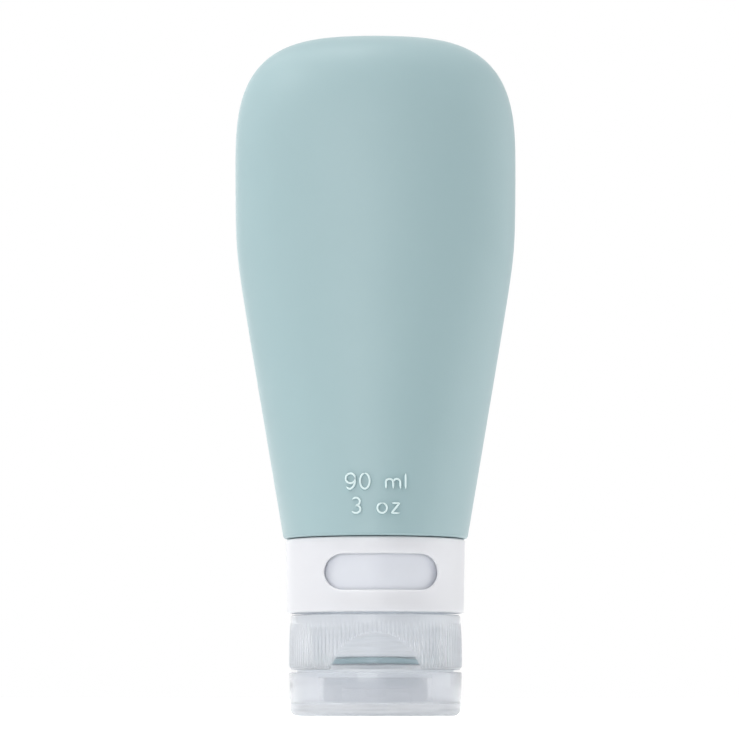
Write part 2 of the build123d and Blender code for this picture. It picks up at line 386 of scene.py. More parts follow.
capacity = raised_text(
    "capacity_numbers",
    [("90 ml", 3.1 * MM, 47.05 * MM), ("3 oz", 3.1 * MM, 42.15 * MM)],
    body_front,
    stroke_width=0.56 * MM,
    rise=0.5 * MM,
)
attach(capacity, "bottle")
print("capacity numbers:", len(capacity.data.polygons), "faces")

# %% [markdown]
# The collar is a thin white band with a long window. Cutting the window with a boolean would leave a
# sharp, ragged edge, so the band is laid out as a flat pattern instead: loops run out from the window's
# round-ended outline to a rectangle, columns of quads carry the rest of the way round, and the whole
# pattern is wrapped on the slightly conical band. The first loops curl inwards to make the window's
# rounded edge, which catches the light.

# %% Lay out the collar's pattern
collar_bore = 17.2 * MM
collar_wall = 0.9 * MM
collar_flare = 0.3 * MM
edge_rounding = 0.45 * MM
window_half_width = 11.45 * MM
window_half_height = 3.625 * MM
window_height = collar_foot + 8.05 * MM
window_turn = math.radians(4.45)
window_margin = 3.0 * MM
straight_steps, round_steps, back_steps = 28, 20, 110


def window_loop(offset):
    """The window's outline, offset outwards, from its lower right, anticlockwise."""
    end_radius = window_half_height + offset
    middle = window_half_width - window_half_height
    loop = []
    for side in (1, -1):
        start = -90 if side > 0 else 90
        turns = [math.radians(start + 180 * step / round_steps) for step in range(round_steps)]
        loop += [(side * middle + end_radius * math.cos(t), end_radius * math.sin(t)) for t in turns]
        shares = [step / straight_steps for step in range(straight_steps)]
        loop += [(side * middle * (1 - 2 * share), side * end_radius) for share in shares]
    return loop


def frame_loop():
    """The rectangle round the window, with a point for each point of the window's loop."""
    half_width = window_half_width + window_margin
    top = collar_top - edge_rounding - window_height
    foot = collar_foot + edge_rounding - window_height
    loop = []
    for side, low, high in ((1, foot, top), (-1, top, foot)):
        loop += [(side * half_width, low + (high - low) * step / round_steps) for step in range(round_steps)]
        loop += [(side * half_width * (1 - 2 * step / straight_steps), high) for step in range(straight_steps)]
    return loop


def blended(first, second, share):
    return [(a[0] + (b[0] - a[0]) * share, a[1] + (b[1] - a[1]) * share) for a, b in zip(first, second)]


def collar_radius(height):
    return collar_bore + collar_wall + collar_flare * (height - collar_foot) / (collar_top - collar_foot)


# %% [markdown]
# A skin that isn't a plain stack of rings is gathered piece by piece. This class keeps its points and
# faces, hands back the numbers of the points it was given, and stitches two rows of them together.

# %% Gather a shell
class Shell:
    """Points and faces gathered piece by piece into one mesh."""

    def __init__(self):
        self.points = []
        self.faces = []

    def add(self, points):
        start = len(self.points)
        self.points.extend(points)
        return list(range(start, len(self.points)))

    def stitch(self, near, far, closed=True):
        count = len(near)
        for step in range(count if closed else count - 1):
            following = (step + 1) % count
            self.faces.append((near[step], near[following], far[following], far[step]))


# %% [markdown]
# The same pattern is wrapped twice, once on the outside and once on the bore. Each wrap gives back its
# window loop and its top and foot rings, because those are the edges to be joined.

# %% Wrap the pattern round the collar
def wrapped(across, rise, radius):
    turn = math.asin(across / radius) + window_turn
    return (radius * math.sin(turn), -radius * math.cos(turn), window_height + rise)


def collar_side(shell, radius_at, first_loop):
    """One wrap of the pattern. Returns its window loop and its top and foot rings as point numbers."""
    frame_points = frame_loop()
    loops = []
    for share in (0, 0.2, 0.45, 0.72, 1):
        pattern = blended(first_loop, frame_points, share)
        loops.append(shell.add([wrapped(x, z, radius_at(window_height + z)) for x, z in pattern]))
    for near, far in zip(loops, loops[1:]):
        shell.stitch(near, far)
    outer = loops[-1]
    corner = round_steps + straight_steps
    right = outer[: round_steps + 1]
    left = outer[corner: corner + round_steps + 1][::-1]
    heights = [frame_points[step][1] for step in range(round_steps)] + [frame_points[round_steps][1]]
    columns = [right]
    for step in range(1, back_steps):
        column = []
        for rise in heights:
            radius = radius_at(window_height + rise)
            half_front = math.asin((window_half_width + window_margin) / radius)
            turn = window_turn + half_front + (2 * math.pi - 2 * half_front) * step / back_steps
            column.append((radius * math.sin(turn), -radius * math.cos(turn), window_height + rise))
        columns.append(shell.add(column))
    columns.append(left)
    for near, far in zip(columns, columns[1:]):
        shell.stitch(near, far, closed=False)
    back_top = [column[-1] for column in columns[1:-1]][::-1]
    back_foot = [column[0] for column in columns[1:-1]][::-1]
    top_ring = outer[round_steps: corner + 1] + back_top
    foot_ring = [outer[0]] + outer[corner + round_steps:][::-1] + back_foot
    return loops[0], top_ring, foot_ring


# %% [markdown]
# The edges of the two wraps are stitched together at the window, the top and the foot, with a rounded edge
# on the outside of each, so the collar is one closed shell.

# %% Close the collar
def edge_rings(shell, ring, depths):
    """Rings that follow one another from a ring, each (pushed in, moved up) from it."""
    made = [ring]
    for inwards, up in depths:
        moved = []
        for number in ring:
            x, y, z = shell.points[number]
            radius = math.hypot(x, y)
            moved.append((x * (1 - inwards / radius), y * (1 - inwards / radius), z + up))
        made.append(shell.add(moved))
    for near, far in zip(made, made[1:]):
        shell.stitch(near, far)
    return made[-1]


def quarter_turn(radius, steps=5):
    """(pushed in, moved on) pairs round a rounded edge."""
    turns = [math.pi / 2 * step / steps for step in range(1, steps + 1)]
    return [(radius * (1 - math.cos(turn)), radius * math.sin(turn)) for turn in turns]


def build_collar():
    shell = Shell()
    outside = collar_side(shell, collar_radius, window_loop(edge_rounding))
    inside = collar_side(shell, lambda height: collar_bore, window_loop(0))
    rolled = [outside[0]]
    for inwards, onwards in quarter_turn(edge_rounding):
        pattern = window_loop(edge_rounding - onwards)
        rolled.append(shell.add([
            wrapped(x, z, collar_radius(window_height + z) - inwards) for x, z in pattern
        ]))
    for near, far in zip(rolled, rolled[1:] + [inside[0]]):
        shell.stitch(near, far)
    top = edge_rings(shell, outside[1], quarter_turn(edge_rounding))
    foot = edge_rings(shell, outside[2], [(inwards, -down) for inwards, down in quarter_turn(edge_rounding)])
    bore_top = edge_rings(shell, inside[1], [(0, edge_rounding)])
    bore_foot = edge_rings(shell, inside[2], [(0, -edge_rounding)])
    shell.stitch(top, bore_top)
    shell.stitch(foot, bore_foot)
    return new_piece("window_collar_skin", shell.points, shell.faces, 50)


collar = build_collar()
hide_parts("window_collar")
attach(collar, "collar")
print("collar:", len(collar.data.polygons), "faces")

# %% [markdown]
# The neck is a hard tube that the silicone lines. Its thread is one right-handed ridge that winds down to
# the mouth. It is a swept ridge with a sloped section, thinner at both ends, where a real thread runs out.

# %% Turn the neck
neck_foot, neck_top = (corner.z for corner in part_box("neck_tube"))
neck_bore = 12.05 * MM
thread_root = 13.2 * MM
flange_radius = 16.9 * MM
bearing_radius = 15.75 * MM
thread_pitch = 4 * MM

neck = lathe("neck_tube_skin", [
    (neck_bore, neck_foot, 0.2 * MM),
    (thread_root, neck_foot, 0.3 * MM),
    (thread_root, collar_foot, 0.2 * MM),
    (flange_radius, collar_foot, 0.3 * MM),
    (flange_radius, neck_step, 0.2 * MM),
    (bearing_radius, neck_step, 0.1 * MM),
    (bearing_radius, neck_top - 1.3 * MM, 0.1 * MM),
    (flange_radius, neck_top - 1.3 * MM, 0.2 * MM),
    (flange_radius, neck_top, 0.2 * MM),
    (13.55 * MM, neck_top, 0.2 * MM),
    (13.55 * MM, neck_step - 0.1 * MM, 0.2 * MM),
    (neck_bore, neck_step - 0.1 * MM, 0.2 * MM),
])
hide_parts("neck_tube")


def thread(name, root, depth, start_height, turns, start_turn, facing=1):
    """A ridge that winds up a cylinder. facing is 1 on the outside of one and -1 in a bore."""
    steps = round(72 * turns)
    path = []
    for step in range(steps + 1):
        turn = start_turn + 2 * math.pi * turns * step / steps
        outward = Vector((math.sin(turn), -math.cos(turn), 0))
        height = start_height + thread_pitch * turns * step / steps
        path.append((outward * root + Vector((0, 0, height)), outward * facing))
    section = [
        (0.85 * MM, -0.1 * MM), (0.75 * MM, 0.05 * MM), (0.4 * MM, depth - 0.08 * MM), (0.25 * MM, depth),
        (-0.25 * MM, depth), (-0.4 * MM, depth - 0.08 * MM), (-0.75 * MM, 0.05 * MM), (-0.85 * MM, -0.1 * MM),
    ]
    return swept(name, path, section, end_shares=(0.15, 0.3, 0.45, 0.6, 0.75, 0.9))


neck_thread = thread("neck_thread", thread_root, 1.0 * MM, neck_foot + 1.3 * MM, 1.5, 0)
for piece in (neck, neck_thread):
    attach(piece, "bottle")
print("neck from", round(neck_foot / MM, 1), "to", round(neck_top / MM, 1), "mm")

# %% [markdown]
# The content ring sits still while the collar turns round it, so whatever is under the window is what the
# traveller chose. At rest the window shows its blank part. Plain numbers stand a quarter turn apart on the
# rest of it, and they come into view as the collar turns.

# %% Turn the content ring
ring_bore = bearing_radius + 0.1 * MM
ring_radius = 16.9 * MM
ring_turns = {"1": 90, "2": 180, "3": 270}


def ring_surface(turn_degrees):
    def surface(across, height):
        turn = math.radians(turn_degrees) + across / ring_radius
        return Vector((ring_radius * math.sin(turn), -ring_radius * math.cos(turn), height))
    return surface


ring = lathe("content_ring_skin", [
    (ring_bore, ring_foot, 0.1 * MM),
    (ring_radius, ring_foot, 0.2 * MM),
    (ring_radius, ring_top, 0.2 * MM),
    (ring_bore, ring_top, 0.1 * MM),
])
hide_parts("content_ring")
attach(ring, "bottle")
for number, turn_degrees in ring_turns.items():
    mark = raised_text(
        f"ring_number_{number}",
        [(number, 4 * MM, window_height)],
        ring_surface(turn_degrees),
        stroke_width=0.5 * MM,
        rise=0.1 * MM,
    )
    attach(mark, "bottle")
print("numbers on the ring:", ", ".join(ring_turns))

# %% [markdown]
# The cap and the lid are turned forms with cuts: a thumb scoop, a hinge flat, bores for the pins. A cut is
# worked out exactly by a boolean, whose result replaces the mesh, so nothing has to be fitted by hand and
# the clear plastic stays one closed body, which is what makes its refraction right.

# %% Cut and add
def changed(piece, operation, others, sharp_angle=35):
    for other in others:
        change = piece.modifiers.new("change", "BOOLEAN")
        change.operation = operation
        change.solver = "EXACT"
        change.object = other
    scene_now = bpy.context.evaluated_depsgraph_get()
    mesh = bpy.data.meshes.new_from_object(piece.evaluated_get(scene_now))
    piece.modifiers.clear()
    piece.data = mesh
    for other in others:
        bpy.data.objects.remove(other)
    mesh.shade_smooth()
    mesh.set_sharp_from_angle(angle=math.radians(sharp_angle))
    return piece


def block(low, high):
    (x0, y0, z0), (x1, y1, z1) = low, high
    lower = [(x0, y0, z0), (x1, y0, z0), (x1, y1, z0), (x0, y1, z0)]
    upper = [(x, y, z1) for x, y, z in lower]
    return stitched("block", [[(x0, y0, z0)], lower, upper, [(x1, y1, z1)]])


def rod(radius, start, end, depth, height, count=64, easing=0.0):
    """A round rod along X, with its ends eased by a small chamfer."""
    def circle(across, size):
        turns = [2 * math.pi * step / count for step in range(count)]
        return [(across, depth + size * math.cos(turn), height + size * math.sin(turn)) for turn in turns]
    middle = [[(start, depth, height)], circle(start, radius - easing)]
    if easing:
        middle += [circle(start + easing, radius), circle(end - easing, radius)]
    middle += [circle(end, radius - easing), [(end, depth, height)]]
    return stitched("rod", middle)


# %% [markdown]
# The cap's wall has 120 fine grip ribs. They are part of the turned form: each ring of the wall has eight
# points to a rib, two on the crest and three down each flank. The ribs end quickly at the foot, and towards
# the top they grow shallower, as the draft of the mould makes them.

# %% Ring the ribs
cap_radius = 17.4 * MM
grip_depth = 0.3 * MM
grip_count = 120
grip_foot, grip_top = cap_foot + 0.4 * MM, cap_foot + 9.7 * MM
rib_shape = [(-0.37, 0), (-0.3, 0.2), (-0.22, 0.75), (-0.14, 1), (0.14, 1), (0.22, 0.75), (0.3, 0.2), (0.37, 0)]
foot_fade = [(0, 0), (0.12, 0.45), (0.28, 0.8), (0.5, 1)]
top_fade = [(0, 0), (0.3, 0.25), (0.9, 0.5), (2.2, 0.75), (4.5, 1)]


def ribbed_ring(radius, height, rise):
    ring = []
    for rib in range(grip_count):
        for offset, share in rib_shape:
            turn = 2 * math.pi * (rib + offset) / grip_count
            reach = radius + rise * share
            ring.append((reach * math.cos(turn), reach * math.sin(turn), height))
    return ring


def cap_rings(inner, outer_foot, outer_top):
    rings = [ribbed_ring(radius, height, 0) for radius, height in outer_foot]
    rings += [ribbed_ring(cap_radius, grip_foot + step * MM, grip_depth * share) for step, share in foot_fade]
    rings += [ribbed_ring(cap_radius, grip_top - step * MM, grip_depth * share) for step, share in top_fade[::-1]]
    rings += [ribbed_ring(radius, height, 0) for radius, height in outer_top]
    rings += [ribbed_ring(radius, height, 0) for radius, height in inner]
    return rings


# %% [markdown]
# Seen from inside out, the cap has the spout boss with its bead for the valve's ring, the end plate, the
# threaded skirt and the outer wall. All of that is one turned section, so it could be lathed, but the outer
# wall has ribs. So the section's points go into ribbed rings of the same count, and the two join cleanly.

# %% Turn the cap
plate_top = cap_foot + 2 * MM
seat_height = plate_top - 0.9 * MM
skirt_bore = 14.35 * MM
skirt_radius = 15.3 * MM
cap_bore = 16.05 * MM
boss_radius = 9.3 * MM
boss_bore = 7.9 * MM
hinge_depth = 16.35 * MM
hinge_height = 9.1 * MM
hinge_flat = 16.05 * MM
barrel_radius = 1.3 * MM
knuckle_half_width = 4 * MM
spout_hole = 5.6 * MM
spout_plate = 1.0 * MM
snap_bead = 0.4 * MM


def cap_shell():
    inner = rounded([
        (cap_bore, cap_top - 0.01 * MM, 0),
        (cap_bore, plate_top, 0.2 * MM),
        (skirt_radius, plate_top, 0.2 * MM),
        (skirt_radius, cap_top - 0.3 * MM, 0.3 * MM),
        (skirt_bore, cap_top - 0.3 * MM, 0.3 * MM),
        (skirt_bore, seat_height, 0.2 * MM),
        (boss_bore - snap_bead, seat_height, 0.15 * MM),
        (boss_bore - snap_bead, seat_height - snap_bead, 0.15 * MM),
        (boss_bore, seat_height - 2 * snap_bead, 0.15 * MM),
        (boss_bore, spout_foot + spout_plate, 0.2 * MM),
        (spout_hole, spout_foot + spout_plate, 0.2 * MM),
        (spout_hole, spout_foot, 0.3 * MM),
        (boss_radius, spout_foot, 0.4 * MM),
        (boss_radius, cap_foot, 0.3 * MM),
        (cap_radius - 1 * MM, cap_foot, 0),
    ], closed=False)
    outer_foot = rounded([
        (cap_radius - 1 * MM, cap_foot, 0), (cap_radius, cap_foot, 0.25 * MM), (cap_radius, grip_foot, 0),
    ], closed=False)[1:-1]
    outer_top = rounded([
        (cap_radius, grip_top, 0), (cap_radius, cap_top, 0.35 * MM), (cap_bore, cap_top, 0.3 * MM),
        (cap_bore, cap_top - 1 * MM, 0),
    ], closed=False)[1:-1]
    return stitched("cap_base_skin", cap_rings(inner[1:], outer_foot, outer_top), looped=True)


# %% [markdown]
# Between skirt and wall there is a thin gap, which is solid behind the thumb scoop, so that the scoop
# doesn't cut through. A low ring under the plate centres the lid, and it fills the seam, so light shows
# through the seam only at the far left and right and under the scoop. It stops short of the hinge.

# %% Back the scoop and centre the lid
backing_half_width = 12.5 * MM
backing_inner, backing_middle, backing_outer = 14.8 * MM, 15.8 * MM, 16.5 * MM
backing_foot, backing_top = plate_top - 0.5 * MM, plate_top + 6.5 * MM
register_radius = 16.05 * MM
register_wall = 1.1 * MM
register_foot, register_top = cap_foot - 1.7 * MM, cap_foot + 0.1 * MM
register_gap_half_width, register_gap_depth = 8 * MM, 14.2 * MM
beyond = 5 * MM


def stitched_strip(name, rings):
    """Rings that are open strips, closed round their section and at both ends."""
    width = len(rings[0])
    points = [point for ring in rings for point in ring]
    faces = []
    for row in range(len(rings)):
        following = (row + 1) % len(rings)
        for step in range(width - 1):
            a, b = row * width + step, row * width + step + 1
            faces.append((a, b, following * width + step + 1, following * width + step))
    faces.append([row * width for row in range(len(rings))])
    faces.append([row * width + width - 1 for row in range(len(rings))])
    return new_piece(name, points, faces)


def scoop_backing():
    half_turn = math.asin(backing_half_width / backing_middle)
    turns = [half_turn * (step / 16 - 1) for step in range(33)]
    corners = [
        (backing_inner, backing_foot), (backing_outer, backing_foot),
        (backing_outer, backing_top), (backing_inner, backing_top),
    ]
    return stitched_strip("backing", [
        [(radius * math.sin(turn), -radius * math.cos(turn), height) for turn in turns]
        for radius, height in corners
    ])


def register_ring():
    inner = register_radius - register_wall
    ring = lathe("register", [
        (inner, register_foot, 0.2 * MM), (register_radius, register_foot, 0.3 * MM),
        (register_radius, register_top, 0), (inner, register_top, 0),
    ], count=288)
    gap_foot, gap_top = register_foot - beyond, register_foot + beyond
    return changed(ring, "DIFFERENCE", [block(
        (-register_gap_half_width, register_gap_depth, gap_foot),
        (register_gap_half_width, register_gap_depth + beyond, gap_top),
    )])


# %% [markdown]
# The scoop is cut by a rod so thick that its face is almost flat. At the back a flat clears the lid, two
# pockets clear its ears, and a barrel with a bore at each end makes the middle of the hinge. The barrel is
# added after the flat is cut, or the flat would take it away.

# %% Build the cap
scoop_radius = 30 * MM
scoop_depth, scoop_height = -43.68 * MM, 2.13 * MM
barrel_gap = 0.15 * MM
pocket_end = 7.2 * MM
pin_bore, pin_bore_start = 0.75 * MM, 2 * MM


def build_cap():
    cap = cap_shell()
    changed(cap, "UNION", [scoop_backing()])
    pockets = [
        rod(barrel_radius + barrel_gap, side * knuckle_half_width, side * pocket_end, hinge_depth, hinge_height)
        for side in (-1, 1)
    ]
    changed(cap, "DIFFERENCE", [
        rod(scoop_radius, -2 * cap_radius, 2 * cap_radius, scoop_depth, scoop_height, count=720),
        block((-cap_radius, hinge_flat, cap_foot - beyond), (cap_radius, hinge_flat + beyond, plate_top)),
    ] + pockets)
    changed(cap, "UNION", [register_ring()])
    changed(cap, "UNION", [
        rod(barrel_radius, -knuckle_half_width, knuckle_half_width, hinge_depth, hinge_height, easing=0.15 * MM)
    ])
    return changed(cap, "DIFFERENCE", [
        rod(pin_bore, side * pin_bore_start, side * (knuckle_half_width + 1 * MM), hinge_depth, hinge_height)
        for side in (-1, 1)
    ])


cap = build_cap()
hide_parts("cap_base")
cap_thread = thread("cap_thread", skirt_bore, 0.95 * MM, plate_top + 2.1 * MM, 1.4, math.pi, facing=-1)
for piece in (cap, cap_thread):
    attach(piece, "cap")
print("cap:", len(cap.data.polygons), "faces")

# %% [markdown]
# The valve is a soft disc, domed inwards, with a cross slit that opens when the body is squeezed. A ring
# snaps in over it. Both are seen only with the lid open, and from inside.

# %% Build the valve and its ring
valve_foot, valve_top = (corner.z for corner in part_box("spout_valve"))
retainer_foot, retainer_top = (corner.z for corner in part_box("valve_retainer"))
valve_radius = 7.6 * MM
membrane_radius = 5.9 * MM


def build_valve():
    dome_foot = valve_foot + 0.35 * MM
    edge = membrane_radius - 0.5 * MM
    rise = 0.9 * MM
    shares = [step / 12 for step in range(13)]
    upper = [(edge * (1 - share), dome_foot + 0.7 * MM + rise * math.sin(share * math.pi / 2)) for share in shares]
    lower = [(edge * (1 - share), dome_foot + rise * math.sin(share * math.pi / 2)) for share in shares[::-1]]
    flange = rounded([
        (membrane_radius, valve_foot + 1.5 * MM, 0),
        (valve_radius, valve_foot + 1.5 * MM, 0.35 * MM),
        (valve_radius, valve_foot, 0.1 * MM),
        (membrane_radius, valve_foot, 0.1 * MM),
        (edge, dome_foot, 0),
    ], closed=False)
    rings = [oval(radius, radius, height, 128) for radius, height in lower + upper[::-1] + flange[:-1]]
    valve = stitched("spout_valve_skin", rings)
    slits = [
        block((-3 * MM, -0.03 * MM, valve_foot - beyond), (3 * MM, 0.03 * MM, valve_foot + beyond)),
        block((-0.03 * MM, -3 * MM, valve_foot - beyond), (0.03 * MM, 3 * MM, valve_foot + beyond)),
    ]
    return changed(valve, "DIFFERENCE", slits)


valve = build_valve()
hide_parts("spout_valve")
retainer = lathe("valve_retainer_skin", [
    (valve_radius - 2.3 * MM, retainer_foot, 0.15 * MM),
    (valve_radius, retainer_foot, 0.15 * MM),
    (valve_radius, retainer_top, 0.3 * MM),
    (valve_radius - 2.3 * MM, retainer_top, 0.3 * MM),
], count=128)
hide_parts("valve_retainer")
for piece in (valve, retainer):
    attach(piece, "valve")
print("valve from", round(valve_foot / MM, 1), "to", round(valve_top / MM, 1), "mm")

# %% [markdown]
# The lid is what the bottle stands on. It is a shallow clear cup with a thick floor, a ring that seals
# round the spout, a plug that closes it, and at the back two ears with the hinge pins.

# %% Build the lid
lid_radius = 17.7 * MM
lid_floor = 2.4 * MM
lid_wall = 1.1 * MM
lid_taper = 0.25 * MM
seal_ring_bore, seal_ring_wall, seal_ring_height = 9.75 * MM, 1 * MM, 5 * MM
plug_radius = 2.2 * MM
plug_top = valve_foot - 0.3 * MM
ear_start, ear_end = 4.2 * MM, 7.0 * MM
pin_radius, pin_length = 0.7 * MM, 2 * MM
hinge_web = 1.6 * MM


def build_lid():
    inner_foot = lid_radius - lid_wall - lid_taper
    seal_ring_radius = seal_ring_bore + seal_ring_wall
    seal_ring_top = lid_floor + seal_ring_height
    section = rounded([
        (0, 0, 0),
        (lid_radius - lid_taper, 0, 1.5 * MM),
        (lid_radius, lid_top, 0.25 * MM),
        (lid_radius - lid_wall, lid_top, 0.2 * MM),
        (inner_foot, lid_floor, 0.55 * MM),
        (seal_ring_radius, lid_floor, 0.3 * MM),
        (seal_ring_radius, seal_ring_top, 0.25 * MM),
        (seal_ring_bore, seal_ring_top, 0.25 * MM),
        (seal_ring_bore, lid_floor, 0.3 * MM),
        (plug_radius, lid_floor, 0.3 * MM),
        (plug_radius, plug_top, 0.6 * MM),
        (0, plug_top, 0),
    ], closed=False)
    rings = [oval(radius, radius, height, 288) for radius, height in section]
    lid = stitched("flip_lid_skin", rings)
    web = block((-ear_end, hinge_flat - hinge_web, lid_floor / 2), (ear_end, hinge_flat, lid_top))
    changed(lid, "UNION", [web])
    changed(lid, "DIFFERENCE", [
        block((-lid_radius, hinge_flat, -beyond), (lid_radius, hinge_flat + beyond, lid_top + beyond)),
        rod(barrel_radius + barrel_gap, -ear_start, ear_start, hinge_depth, hinge_height),
    ])
    ears = []
    for side in (-1, 1):
        ends = sorted((side * ear_start, side * ear_end))
        ears.append(rod(barrel_radius, *ends, hinge_depth, hinge_height, easing=0.15 * MM))
        ends = sorted((side * (ear_start - pin_length), side * (ear_end - 0.5 * MM)))
        ears.append(rod(pin_radius, *ends, hinge_depth, hinge_height, easing=0.15 * MM))
    return changed(lid, "UNION", ears)


lid = build_lid()
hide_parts("flip_lid")
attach(lid, "lid")
print("lid:", len(lid.data.polygons), "faces")

# %% [markdown]
# Every finish below is a small graph of nodes. Wiring it node by node buries the idea, so one class wraps a
# socket and gives it arithmetic: an expression such as 1 - mask * 0.5 adds its Math nodes. Any other node
# comes from one method that takes its type, its settings and the values or links of its sockets.

# %% Write finishes as expressions
class Wire:
    def __init__(self, finish, node, output=0):
        self.finish = finish
        self.node = node
        self.socket = node.outputs[output]

    def output(self, name):
        return Wire(self.finish, self.node, name)

    def maths(self, operation, *values):
        return self.finish.add("ShaderNodeMath", {"operation": operation}, dict(enumerate(values)))

    def __add__(self, other):
        return self.maths("ADD", self, other)

    def __sub__(self, other):
        return self.maths("SUBTRACT", self, other)

    def __rsub__(self, other):
        return self.maths("SUBTRACT", other, self)

    def __mul__(self, other):
        return self.maths("MULTIPLY", self, other)

    def __abs__(self):
        return self.maths("ABSOLUTE", self)

    __radd__ = __add__
    __rmul__ = __mul__


class Finish:
    """The nodes of a material, or of the world."""

    def __init__(self, owner):
        owner.use_nodes = True
        self.owner = owner
        self.tree = owner.node_tree
        self.tree.nodes.clear()

    def add(self, kind, settings=None, inputs=None):
        node = self.tree.nodes.new(kind)
        for name, value in (settings or {}).items():
            setattr(node, name, value)
        for name, value in (inputs or {}).items():
            if isinstance(value, Wire):
                self.tree.links.new(value.socket, node.inputs[name])
            else:
                node.inputs[name].default_value = value
        return Wire(self, node) if node.outputs else node

    def close(self, surface, **more):
        self.add("ShaderNodeOutputMaterial", inputs={"Surface": surface, **more})
        return self.owner


def new_finish(name):
    return Finish(bpy.data.materials.new(name))


def colour(red, green, blue):
    """A colour as it looks on screen, from 0 to 255, as the light it stands for."""
    shares = [value / 255 for value in (red, green, blue)]
    light = [share / 12.92 if share <= 0.04045 else ((share + 0.055) / 1.055) ** 2.4 for share in shares]
    return (*light, 1)


def place(finish):
    return finish.add("ShaderNodeTexCoord").output("Object")


def noise(finish, size, detail=3, roughness=0.5):
    """Cloudy values from 0 to 1, with blotches about as wide as size."""
    return finish.add("ShaderNodeTexNoise", {"noise_dimensions": "3D"}, {
        "Vector": place(finish), "Scale": 1 / size, "Detail": detail, "Roughness": roughness,
    })


def tinted(finish, first, second, share):
    return finish.add("ShaderNodeMix", {"data_type": "RGBA"}, {0: share, 6: first, 7: second}).output(2)


def eased_step(finish, value, start, end, low, high):
    return finish.add("ShaderNodeMapRange", {"interpolation_type": "SMOOTHSTEP"}, {
        "Value": value, "From Min": start, "From Max": end, "To Min": low, "To Max": high,
    })


def bumped(finish, height, depth, normal=None):
    inputs = {"Height": height, "Distance": depth, "Strength": 1}
    if normal:
        inputs["Normal"] = normal
    return finish.add("ShaderNodeBump", inputs=inputs)


# %% [markdown]
# The silicone is a soft grey blue-green. Its moulded surface is satin with a very fine grain, light goes a
# little way into it, and it has a faint velvet sheen at grazing angles. The two halves of the mould meet
# at the sides, where they leave a hairline along the middle of the body's depth. The raised numbers are
# smoother. Their pale colour is a painted highlight, and their steep flanks are painted darker as painted
# shade, which gives each stroke a crisp outline.

# %% Silicone
def silicone_finish(name, light, dark, grain_depth, shine=0.34, painted_flank_shade=None):
    finish = new_finish(name)
    cloud = noise(finish, 18 * MM, detail=2)
    grain = noise(finish, 0.35 * MM, detail=4, roughness=0.65)
    across = finish.add("ShaderNodeSeparateXYZ", inputs={"Vector": place(finish)}).output("Y")
    seam = eased_step(finish, abs(across), 0.05 * MM, 0.22 * MM, 1, 0)
    relief = grain * 0.5 + seam * 1.2
    skin = tinted(finish, light, dark, cloud * 0.6 + grain * 0.25)
    # Painted shade: faces that turn away from the front take the darker flank colour, as the shade beside a raised
    # stroke.
    if painted_flank_shade:
        facing = finish.add("ShaderNodeSeparateXYZ", inputs={
            "Vector": finish.add("ShaderNodeTexCoord").output("Normal"),
        }).output("Y")
        skin = tinted(finish, painted_flank_shade, skin, eased_step(finish, abs(facing), 0.45, 0.8, 0, 1))
    surface = finish.add("ShaderNodeBsdfPrincipled", inputs={
        "Base Color": skin,
        "Roughness": shine + cloud * 0.08 + grain * 0.06,
        "IOR": 1.45,
        "Subsurface Weight": 0.12,
        "Subsurface Radius": (0.9, 1.0, 1.0),
        "Subsurface Scale": 1.2 * MM,
        "Sheen Weight": 0.12,
        "Sheen Roughness": 0.4,
        "Normal": bumped(finish, relief, grain_depth),
    })
    return finish.close(surface)


body_silicone = silicone_finish("body_silicone", colour(172, 198, 202), colour(166, 193, 197), 0.04 * MM)
# The numbers' pale colour is a painted highlight, and their darker flank colour is painted shade.
raised_numbers_painted_relief = silicone_finish(
    "raised_numbers_painted_relief", colour(232, 251, 251), colour(226, 248, 249), 0.005 * MM, shine=0.2,
    painted_flank_shade=colour(146, 178, 184),
)
valve_silicone = silicone_finish("valve_silicone", colour(228, 231, 233), colour(220, 224, 227), 0.01 * MM)
silicone_body.data.materials.append(body_silicone)
capacity.data.materials.append(raised_numbers_painted_relief)
valve.data.materials.append(valve_silicone)
print("finishes:", body_silicone.name, raised_numbers_painted_relief.name, valve_silicone.name)

# %% [markdown]
# The collar, the content ring, the neck and the valve's ring are plain moulded plastics. The collar is a
# smooth white satin. The others are the natural, slightly milky kind, with a softer shine. Each has a
# little unevenness in shine and a low ripple, as a moulding has where the melt cooled.

# %% White and natural plastics
def moulded_finish(name, light, dark, shine, milkiness, reach=1.0):
    finish = new_finish(name)
    cloud = noise(finish, 9 * MM, detail=2)
    grain = noise(finish, 0.25 * MM, detail=3)
    surface = finish.add("ShaderNodeBsdfPrincipled", inputs={
        "Base Color": tinted(finish, light, dark, cloud),
        "Roughness": shine + cloud * 0.08 + grain * 0.05,
        "IOR": 1.49,
        "Subsurface Weight": milkiness,
        "Subsurface Radius": (1.0, 1.0, 1.0),
        "Subsurface Scale": reach * MM,
        "Normal": bumped(finish, grain * 0.6 + cloud * 2, 0.012 * MM),
    })
    return finish.close(surface)


collar_plastic = moulded_finish("collar_plastic", colour(238, 239, 244), colour(235, 236, 242), 0.26, 0.7, 1.5)
ring_plastic = moulded_finish("ring_plastic", colour(233, 236, 243), colour(229, 232, 240), 0.3, 0.5, 1.0)
neck_plastic = moulded_finish("neck_plastic", colour(240, 243, 246), colour(235, 238, 242), 0.35, 0.25)
retainer_plastic = moulded_finish("retainer_plastic", colour(234, 236, 238), colour(228, 231, 234), 0.4, 0.1)
collar.data.materials.append(collar_plastic)
ring.data.materials.append(ring_plastic)
retainer.data.materials.append(retainer_plastic)
for piece in (neck, neck_thread):
    piece.data.materials.append(neck_plastic)
for piece in scene.objects:
    if piece.name.startswith("ring_number"):
        piece.data.materials.append(collar_plastic)
print("plastics:", ", ".join((collar_plastic.name, ring_plastic.name, neck_plastic.name)))

# %% [markdown]
# The cap and the lid are clear, but not like glass: part of the light goes through and bends, and part is
# scattered by a milky haze. The haze differs from place to place. The grip is the milkiest, the thumb scoop
# is clearer, and near its foot it is polished, so the blue-green lip of the silicone shows as a strip. The
# thick floor of the lid is hazier than its wall. Height and distance from the axis are enough to say where.

